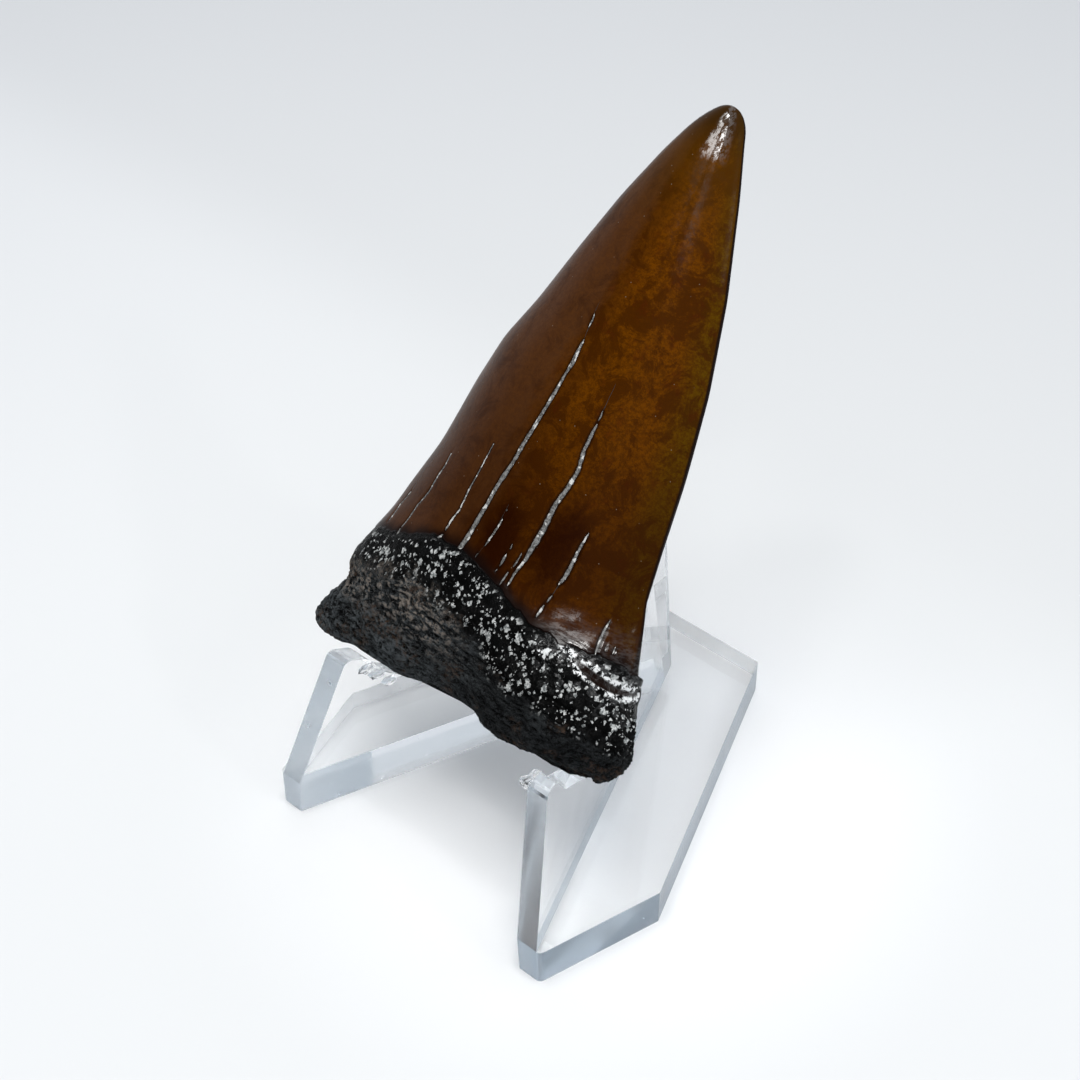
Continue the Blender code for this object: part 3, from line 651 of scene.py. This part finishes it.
class Nodes:
    """Short calls for building a node tree."""

    def __init__(self, tree):
        self.tree = tree

    def put(self, socket, value):
        if isinstance(value, bpy.types.NodeSocket):
            self.tree.links.new(value, socket)
        elif isinstance(value, tuple) and len(value) == 3 and socket.type == "RGBA":
            socket.default_value = (*value, 1.0)
        elif value is not None:
            socket.default_value = value

    def node(self, kind, **inputs):
        made = self.tree.nodes.new(kind)
        for name, value in inputs.items():
            self.put(made.inputs[name.replace("_", " ")], value)
        return made

    def coordinates(self, kind="Object"):
        return self.tree.nodes.new("ShaderNodeTexCoord").outputs[kind]

    def attribute(self, name, kind="Fac"):
        made = self.tree.nodes.new("ShaderNodeAttribute")
        made.attribute_name = name
        return made.outputs[kind]

    def axes(self, vector):
        return self.node("ShaderNodeSeparateXYZ", Vector=vector).outputs

    def math(self, operation, first, second=None):
        made = self.tree.nodes.new("ShaderNodeMath")
        made.operation = operation
        self.put(made.inputs[0], first)
        self.put(made.inputs[1], second)
        return made.outputs[0]

    def vector_math(self, operation, *values):
        made = self.tree.nodes.new("ShaderNodeVectorMath")
        made.operation = operation
        for socket, value in zip(made.inputs, values):
            self.put(socket, value)
        return made.outputs

    def times(self, first, *others):
        """The product of all the values."""
        for other in others:
            first = self.math("MULTIPLY", first, other)
        return first

    def most(self, first, *others):
        """The largest of the values."""
        for other in others:
            first = self.math("MAXIMUM", first, other)
        return first

    def inverse(self, value):
        return self.math("SUBTRACT", 1.0, value)

    def sway(self, value, cloud, reach):
        """The value, moved up and down by a noise round its middle."""
        return self.math("ADD", value, self.times(self.math("SUBTRACT", cloud, 0.5), reach))

    def lines(self, cloud):
        """Distance of a noise from its middle, which is low along thin lines."""
        return self.math("ABSOLUTE", self.math("SUBTRACT", cloud, 0.5))

    def span(self, value, low, high, start=0.0, end=1.0, smooth=True):
        """From start to end while the value goes from low to high."""
        made = self.tree.nodes.new("ShaderNodeMapRange")
        made.interpolation_type = "SMOOTHSTEP" if smooth else "LINEAR"
        self.put(made.inputs["Value"], value)
        made.inputs["From Min"].default_value = low
        made.inputs["From Max"].default_value = high
        made.inputs["To Min"].default_value = start
        made.inputs["To Max"].default_value = end
        return made.outputs["Result"]

    def mix(self, share, first, second):
        """A colour between two."""
        made = self.tree.nodes.new("ShaderNodeMix")
        made.data_type = "RGBA"
        self.put(made.inputs[0], share)
        self.put(made.inputs[6], first)
        self.put(made.inputs[7], second)
        return made.outputs[2]

    def blend(self, share, first, second):
        """A number between two."""
        made = self.tree.nodes.new("ShaderNodeMix")
        made.data_type = "FLOAT"
        self.put(made.inputs[0], share)
        self.put(made.inputs[2], first)
        self.put(made.inputs[3], second)
        return made.outputs[0]

    def scaled(self, vector, scale, shift=(0.0, 0.0, 0.0)):
        """The vector scaled along its axes, and moved."""
        return self.node("ShaderNodeMapping", Vector=vector, Scale=scale, Location=shift).outputs[0]

    def noise(self, vector, scale, detail=2.0, roughness=0.5, distortion=0.0, kind="Fac"):
        made = self.node("ShaderNodeTexNoise", Vector=vector, Scale=scale, Detail=detail,
                         Roughness=roughness, Distortion=distortion)
        return made.outputs[kind]

    def flecks(self, vector, scale, least, most, crowd):
        """Scattered angular patches of random size, larger where they crowd."""
        cells = self.node("ShaderNodeTexVoronoi", Vector=vector, Scale=scale)
        cells.distance = "MANHATTAN"
        dice = self.node("ShaderNodeSeparateColor", Color=cells.outputs["Color"])
        size = self.math("ADD", self.span(dice.outputs[0], 0.0, 1.0, least, most, smooth=False), crowd)
        return self.span(self.math("SUBTRACT", size, cells.outputs["Distance"]), 0.0, 0.03)

    def bump(self, height, strength, distance):
        made = self.node("ShaderNodeBump", Strength=strength, Distance=distance, Height=height)
        return made.outputs["Normal"]


class Shader(Nodes):
    """A node material round its Principled BSDF."""

    def __init__(self, name):
        self.material = bpy.data.materials.new(name)
        self.material.use_nodes = True
        super().__init__(self.material.node_tree)

    def look(self, **values):
        """Set the Principled BSDF's inputs, by name with an underscore for each space."""
        main = self.tree.nodes["Principled BSDF"]
        for name, value in values.items():
            self.put(main.inputs[name.replace("_", " ")], value)


def tooth_marks(s):
    """The tooth's own coordinates in mm and the zones that its colours and its gloss share."""
    t = SimpleNamespace()
    t.place = s.attribute("plane_mm", "Vector")
    axes = s.axes(t.place)
    t.across, t.up = axes[0], axes[1]
    t.below = s.attribute("below_mm")
    t.side = s.attribute("side")
    t.grain = s.attribute("grain")
    t.crack = s.attribute("crack_mm")
    t.on_root = s.span(t.below, -0.05, 0.15)
    t.at_right = s.span(t.across, *RIGHT_END)
    t.shifted = s.vector_math("MULTIPLY_ADD", s.noise(t.place, 3.2, 2.0, 0.6, kind="Color"),
                              (0.42, 0.42, 0.42), t.place)[0]

    # The polished band under the enamel line gets wider towards the right, with a worn lower edge.
    width = s.span(t.across, *BAND_GROWS, *BAND_WIDTH, smooth=False)
    wear_and_glints = s.sway(t.below, s.noise(t.place, 0.6, 3.0, 0.6), BAND_WORN)
    t.past_band = s.math("SUBTRACT", wear_and_glints, width)
    t.band = s.inverse(s.span(t.past_band, *BAND_EDGE))
    t.wet = s.times(t.at_right, s.span(t.below, 2.2, 1.2), s.span(t.below, -0.1, 0.2))

    groove = s.attribute("groove")
    t.in_groove = s.span(groove, 0.35, 0.65)
    # Painted highlights in patches on the banks of the groove.
    highlight_patches = s.span(s.noise(t.shifted, 2.0, 3.0, 0.6), 0.50, 0.53)
    t.banks = s.times(s.span(groove, 0.02, 0.10), highlight_patches)

    # Thin grey lines along the bone's strands, fainter in places: painted light on the strands' ridges.
    t.drawn_out = s.scaled(t.shifted, (0.45, 1.5, 1.5))
    hair = s.span(s.lines(s.noise(t.drawn_out, 1.9, 3.0, 0.6, 0.5)), 0.12, 0.02)
    strength = s.span(s.noise(t.place, 0.35), 0.40, 0.62, 0.45, 1.0)
    t.hair = s.times(hair, s.span(t.grain, -0.5, 0.2), strength)
    return t


def enamel_colour(s, t):
    """Mauve brown left of the middle ridge, mottled dark amber beside it, olive at the right edge."""
    wobble = s.noise(s.scaled(t.place, (1.0, 0.35, 1.0)), 0.22, 3.0, 0.6)
    ripple = s.noise(s.scaled(t.place, (1.0, 0.5, 1.0)), 0.9, 4.0, 0.7)
    drift = s.sway(s.sway(t.side, wobble, 0.35), ripple, 0.30)
    clouds = s.noise(t.place, 0.30, 6.0, 0.76, 0.6)
    mottle = s.span(s.noise(t.place, 2.4, 7.0, 0.85), 0.42, 0.58)
    red = s.noise(t.place, 0.55, 4.0, 0.7)
    amber = s.mix(s.span(drift, -0.05, 0.35), AMBER_INNER, AMBER_OUTER)
    amber = s.mix(s.span(t.side, 0.72, 0.97), amber, OLIVE_EDGE)
    amber = s.mix(s.span(clouds, 0.46, 0.57, 0.0, 0.72), amber, AMBER_CLOUD)
    amber = s.mix(s.span(red, 0.52, 0.70, 0.0, 0.55), amber, AMBER_RED)
    amber = s.mix(s.times(mottle, 0.70), amber, AMBER_MOTTLE)
    mauve = s.mix(s.span(drift, -1.0, -0.3), MAUVE_OUTER, MAUVE_INNER)
    mauve = s.mix(s.span(clouds, 0.46, 0.66, 0.0, 0.75), mauve, MAUVE_CLOUD)
    mauve = s.mix(s.times(mottle, 0.50), mauve, MAUVE_MOTTLE)
    colour = s.mix(s.span(drift, -0.22, 0.02), mauve, amber)

    # Darker low in the crown and at the very tip, paler just below the tip.
    low_crown = s.times(s.span(t.up, *LOW_CROWN_ZONE), s.span(drift, -0.35, -0.05, 0.30, 0.62))
    colour = s.mix(low_crown, colour, LOW_CROWN)
    squashed = s.scaled(t.place, (1.0, DARK_CLOUD_SQUASH, 0.0))
    for across, up in DARK_CLOUD_PLACES:
        away = s.vector_math("DISTANCE", squashed, (across, DARK_CLOUD_SQUASH * up, 0.0))["Value"]
        reach = s.math("ADD", away, s.times(ripple, 2.0))
        colour = s.mix(s.span(reach, 3.6, 1.8, 0.0, 0.80), colour, DARK_CLOUD)
    colour = s.mix(s.span(t.up, *TIP_ZONE, 0.0, 0.50), colour, TIP_BROWN)
    colour = s.mix(s.span(t.up, *TIP_END_ZONE, 0.0, 0.75), colour, TIP_END)

    # Pale specks, painted shadow in dark lines beside the cracks, and dark lines at the root and on the
    # cutting edges.
    speck = s.node("ShaderNodeTexVoronoi", Vector=t.place, Scale=0.9).outputs["Distance"]
    colour = s.mix(s.span(speck, 0.06, 0.03, 0.0, 0.5), colour, PALE_SPECK)
    colour = s.mix(s.span(t.crack, 0.22, 0.0, 0.0, 0.8), colour, CRACK_PAINTED_SHADOW)
    near_root = s.span(s.math("ADD", t.below, s.times(wobble, 0.8)), -1.1, 0.5)
    colour = s.mix(near_root, colour, ENAMEL_FOOT)
    return s.mix(s.span(s.math("ABSOLUTE", t.side), 0.985, 0.999), colour, CUTTING_EDGE)


def fleck_mask(s, t):
    """Pale flecks in the polished band, partly filled pores and partly painted highlights, and painted
    highlights on the banks of the groove.
    """
    crowd = s.span(s.noise(t.place, 0.45), 0.36, 0.56, -0.06, 0.16)
    large = s.flecks(s.scaled(t.shifted, FLECK_STRETCH), 1.45, -0.20, 0.60, crowd)
    small = s.flecks(s.scaled(t.shifted, FLECK_STRETCH, FLECK_SHIFT), 2.8, -0.30, 0.62, crowd)
    pores = s.times(s.most(large, small), s.span(t.below, 0.3, 0.9), t.band)
    return s.times(s.most(pores, t.banks), s.inverse(t.in_groove))


def band_colour(s, t, white):
    """Black, with flecks from grey to pale that are partly painted highlights, and the palest as painted
    glints at the rim of the right end and on the groove's banks.
    """
    tone = s.mix(s.span(s.noise(t.place, 3.6, 3.0, 0.6), 0.40, 0.60), FLECK_GREY, FLECK_PALE)
    # Painted glints on the rim of the right end.
    wear_and_glints = s.times(t.at_right, s.span(t.below, 4.0, 1.5), s.span(s.noise(t.place, 1.1), 0.52, 0.60))
    tone = s.mix(s.most(wear_and_glints, t.banks), tone, FLECK_GLINT)
    return s.mix(white, BAND_BLACK, tone)


def bone_colour(s, t):
    """Matt fibrous bone with rust, darker at the right, brown grey crust at the left; its grey strands and
    lighter ridges are painted light, its dark pits painted shade.
    """
    # Painted shade in the pits and painted light on the ridges, following the relief's height.
    bone = s.mix(s.span(t.grain, -0.20, 0.45), BONE_PIT_SHADE, BONE_RIDGE_LIGHT)
    bone = s.mix(s.times(t.hair, 0.8), bone, BONE_STRAND_LIGHT)
    bone = s.mix(s.span(t.across, *BONE_DARKENS, 0.0, 0.78), bone, BONE_RIGHT)
    light_net = s.span(s.lines(s.noise(t.drawn_out, 2.6, 4.0, 0.65, 1.2)), 0.030, 0.008)
    bone = s.mix(s.times(light_net, s.span(t.across, 8.0, -6.0, 0.35, 1.0), 0.75), bone, BONE_NET_LIGHT)
    rust_zone = s.span(s.noise(t.place, 0.30), 0.50, 0.62)
    rust = s.span(s.noise(t.place, 2.4, 3.0, 0.6), 0.45, 0.62)
    bone = s.mix(s.times(rust_zone, rust, 0.45), bone, RUST)
    crust_zone = s.times(s.span(t.past_band, *CRUST_STARTS), s.span(t.across, *CRUST_FADES))
    crust = s.span(s.noise(t.shifted, 2.6, 4.0, 0.7, 0.8), 0.45, 0.54)
    crust = s.times(crust_zone, crust, s.span(t.grain, -0.30, 0.10))
    return s.mix(s.times(crust, 0.85), bone, CRUST)


def coat_weight(s, t, white):
    """Where the tooth mirrors the lamps: patches of the band, and parts of the tip, foot and flank."""
    patchy = s.span(s.noise(t.place, 0.8), 0.42, 0.60, 0.0, 0.03)
    glints = s.span(s.noise(t.shifted, 1.3), 0.52, 0.56, 0.0, 0.35)
    glints = s.times(glints, t.at_right, s.span(t.below, 5.0, 2.5))
    on_band = s.times(t.band, t.on_root, s.inverse(white), s.most(patchy, glints))
    broken = s.span(s.noise(t.shifted, 1.6, 3.0, 0.6), 0.49, 0.54, 0.02, 0.30)
    on_band = s.most(on_band, s.times(t.wet, broken))

    cloudy = s.span(s.noise(t.place, 1.2, 4.0, 0.7), 0.45, 0.65, 0.0, 0.012)
    cloudy = s.times(cloudy, s.span(t.side, 0.0, 0.35), s.span(t.side, 0.9, 0.7), s.span(t.up, 46.0, 50.0))
    streaks = s.span(s.noise(s.scaled(t.place, (1.6, 0.7, 1.0)), 2.0, 4.0, 0.75), 0.42, 0.56)
    at_tip = s.times(s.span(t.up, *TIP_SHINE_ZONE), s.span(streaks, 0.0, 1.0, 0.04, 0.85),
                     s.span(t.side, 0.05, 0.22), s.span(t.side, 0.78, 0.60))
    smears = s.span(s.noise(s.scaled(t.place, (0.5, 2.4, 1.0)), 1.5, 4.0, 0.75), 0.40, 0.60, 0.03, 0.34)
    at_foot = s.times(t.at_right, smears, s.span(t.below, *FOOT_SHINE_ZONE))
    on_flank = s.times(s.span(t.side, -0.72, -0.95, 0.0, 0.10), s.span(t.up, *FLANK_SHINE_ZONE))
    return s.blend(t.on_root, s.most(cloudy, at_tip, at_foot, on_flank), on_band)


def tooth_bumps(s, t):
    """Finer relief than the mesh holds: soft on the enamel, lumpy on the band, fibrous on the bone."""
    soft = s.times(s.noise(t.place, 0.9, 3.0, 0.55), 0.16)
    lumpy = s.times(s.noise(t.shifted, 1.5, 3.0, 0.6), s.blend(t.wet, 4.5, 2.2))
    fibrous = s.math("ADD", s.noise(s.scaled(t.place, (0.8, 1.6, 1.6)), 3.2, 4.0, 0.65), t.hair)
    return s.bump(s.blend(t.on_root, soft, s.blend(t.band, fibrous, lumpy)), 0.6, 0.2 * MM)


def tooth_material():
    s = Shader("fossil_tooth_look")
    t = tooth_marks(s)
    white = fleck_mask(s, t)
    root = s.mix(t.band, bone_colour(s, t), band_colour(s, t, white))
    root = s.mix(s.times(t.in_groove, 0.8), root, GROOVE_BROWN)
    enamel_rough = s.span(s.noise(t.place, 1.4, 3.0, 0.6), 0.35, 0.75, 0.14, 0.26)
    root_rough = s.blend(t.band, BONE_ROUGHNESS, s.blend(white, BAND_ROUGHNESS, FLECK_ROUGHNESS))
    bumps = tooth_bumps(s, t)
    s.look(Base_Color=s.mix(t.on_root, enamel_colour(s, t), root),
           Roughness=s.blend(t.on_root, enamel_rough, root_rough),
           IOR=TOOTH_IOR, Specular_IOR_Level=TOOTH_SPECULAR,
           Coat_Weight=coat_weight(s, t, white), Coat_Roughness=COAT_ROUGHNESS, Coat_IOR=COAT_IOR,
           Normal=bumps, Coat_Normal=bumps)
    return s.material


def fill_material():
    s = Shader("pale_mineral")
    place = s.coordinates()
    grainy = s.noise(place, 4500.0, 3.0, 0.6)
    tone = s.mix(s.span(grainy, 0.38, 0.62), MINERAL_GREY, MINERAL_PALE)
    # Bright patches on the filling are painted highlights.
    painted_highlight = s.span(s.noise(place, 1400.0), 0.56, 0.62)
    s.look(Base_Color=s.mix(painted_highlight, tone, MINERAL_HIGHLIGHT), Roughness=0.55,
           Normal=s.bump(grainy, 0.6, 0.1 * MM))
    return s.material


def hairline_material():
    s = Shader("dark_hairline")
    uneven = s.noise(s.coordinates(), 1800.0)
    s.look(Base_Color=s.mix(uneven, HAIRLINE_BLACK, HAIRLINE_BROWN), Roughness=0.6)
    return s.material


def clear_material():
    """Clear plastic, slightly frosted at its front and rear faces and round its base, with a painted
    reflection on its sawn faces there.
    """
    s = Shader("clear_plastic_look")
    place = s.coordinates()
    spot = s.axes(place)
    facing = s.axes(s.tree.nodes.new("ShaderNodeNewGeometry").outputs["True Normal"])
    low = s.span(spot[2], *BASE_TOP)
    endwise = s.span(s.math("ABSOLUTE", facing[1]), *ENDWISE)
    upright = s.span(s.math("ABSOLUTE", facing[2]), *UPRIGHT)
    sawn = s.most(endwise, s.times(upright, low))
    # Painted reflection on the sawn faces round the base, grey at the left and bluer towards the right.
    sawn_painted_reflection = s.mix(s.span(spot[0], *SAWN_REFLECTION_TURNS_BLUE), SAWN_PAINTED_GREY, SAWN_PAINTED_BLUE)
    wear = s.span(s.noise(place, 900.0, 4.0, 0.65), 0.45, 0.8, 0.02, 0.06)
    s.look(Base_Color=s.mix(s.times(sawn, low), (1.0, 1.0, 1.0), sawn_painted_reflection),
           Roughness=s.math("ADD", wear, s.times(sawn, SAWN_ROUGHNESS)),
           Transmission_Weight=1.0, IOR=PLASTIC_IOR, Normal=s.bump(s.noise(place, 120.0), 0.15, 0.2 * MM))
    absorb = s.node("ShaderNodeVolumeAbsorption", Color=PLASTIC_ABSORPTION, Density=PLASTIC_DENSITY)
    s.put(s.tree.nodes["Material Output"].inputs["Volume"], absorb.outputs[0])
    return s.material


def add_area(name, place, target, size, power, colour):
    light = bpy.data.lights.new(name, "AREA")
    light.shape = "RECTANGLE"
    light.size, light.size_y = size
    light.energy = power
    light.color = colour
    item = bpy.data.objects.new(name, light)
    item.location = place
    item.rotation_euler = (Vector(place) - Vector(target)).to_track_quat("Z", "Y").to_euler()
    bpy.context.scene.collection.objects.link(item)


def add_camera():
    data = bpy.data.cameras.new("camera")
    data.sensor_width = CAMERA_SENSOR
    data.lens = CAMERA_LENS
    data.clip_start = CAMERA_NEAREST
    item = bpy.data.objects.new("camera", data)
    back = Vector((math.sin(CAMERA_AZIMUTH) * math.cos(CAMERA_ELEVATION),
                   -math.cos(CAMERA_AZIMUTH) * math.cos(CAMERA_ELEVATION), math.sin(CAMERA_ELEVATION)))
    item.location = Vector(CAMERA_TARGET) + back * CAMERA_DISTANCE
    item.rotation_euler = back.to_track_quat("Z", "Y").to_euler()
    bpy.context.scene.collection.objects.link(item)
    bpy.context.scene.camera = item


def floor_material():
    s = Shader("floor_painted_falloff")
    place = s.coordinates()
    # Painted light in the floor's colour: a pool round its middle that fades away from it, and painted shade
    # behind.
    away = s.vector_math("DISTANCE", place, FLOOR_MIDDLE)["Value"]
    tone = s.mix(s.span(away, FLOOR_PALE_REACH, FLOOR_GREY_REACH), FLOOR_PALE, FLOOR_GREY)
    tone = s.mix(s.span(away, FLOOR_GREY_REACH, FLOOR_FAR_REACH, smooth=False), tone, FLOOR_FAR)
    behind = s.span(s.axes(place)[1], *FLOOR_BEHIND, 0.0, FLOOR_BEHIND_SHADE)
    s.look(Base_Color=s.mix(behind, tone, (0.0, 0.0, 0.0)), Roughness=0.6, Specular_IOR_Level=0.1)
    return s.material


def add_floor():
    mesh = bpy.data.meshes.new("floor")
    corners = [(x * FLOOR_HALF, y * FLOOR_HALF, 0.0) for x, y in ((-1, -1), (1, -1), (1, 1), (-1, 1))]
    mesh.from_pydata(corners, [], [(0, 1, 2, 3)])
    mesh.materials.append(floor_material())
    item = bpy.data.objects.new("floor", mesh)
    item.location.z = -FLOOR_DROP
    bpy.context.scene.collection.objects.link(item)


def add_world():
    """A pale tent all round, with a dark card low at the front left."""
    world = bpy.data.worlds.new("studio")
    bpy.context.scene.world = world
    world.use_nodes = True
    n = Nodes(world.node_tree)
    direction = Vector(CARD_DIRECTION).normalized()
    facing = n.vector_math("DOT_PRODUCT", n.coordinates("Generated"), direction)["Value"]
    colour = n.mix(n.span(facing, *CARD_EDGE), TENT_COLOUR, CARD_COLOUR)
    background = n.tree.nodes["Background"]
    n.put(background.inputs["Color"], colour)
    n.put(background.inputs["Strength"], WORLD_STRENGTH)


add_camera()
add_floor()
add_world()
for lamp in LAMPS:
    add_area(*lamp)

level, turn, smooth = tooth_grid()
new_piece("tooth_detailed", tooth_mesh(level, turn, smooth), tooth_material(), "tooth")
surface = enamel_surface(smooth)
fill = ribbon_mesh("crack_fill", CRACKS, surface, FILL_PROUD, FILL_RAGGED)
new_piece("crack_fill", fill, fill_material())
lines = ribbon_mesh("hairline_cracks", HAIRLINES, surface, HAIRLINE_PROUD, HAIRLINE_RAGGED)
new_piece("hairline_cracks", lines, hairline_material())
clear = clear_material()
for material_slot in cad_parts["stand"].material_slots:
    material_slot.material = clear

bpy.context.scene.view_settings.view_transform = "Standard"
bpy.context.scene.cycles.max_bounces = LIGHT_BOUNCES
bpy.context.scene.cycles.glossy_bounces = CLEAR_BOUNCES
bpy.context.scene.cycles.transmission_bounces = CLEAR_BOUNCES
bpy.context.scene.cycles.blur_glossy = 0.0
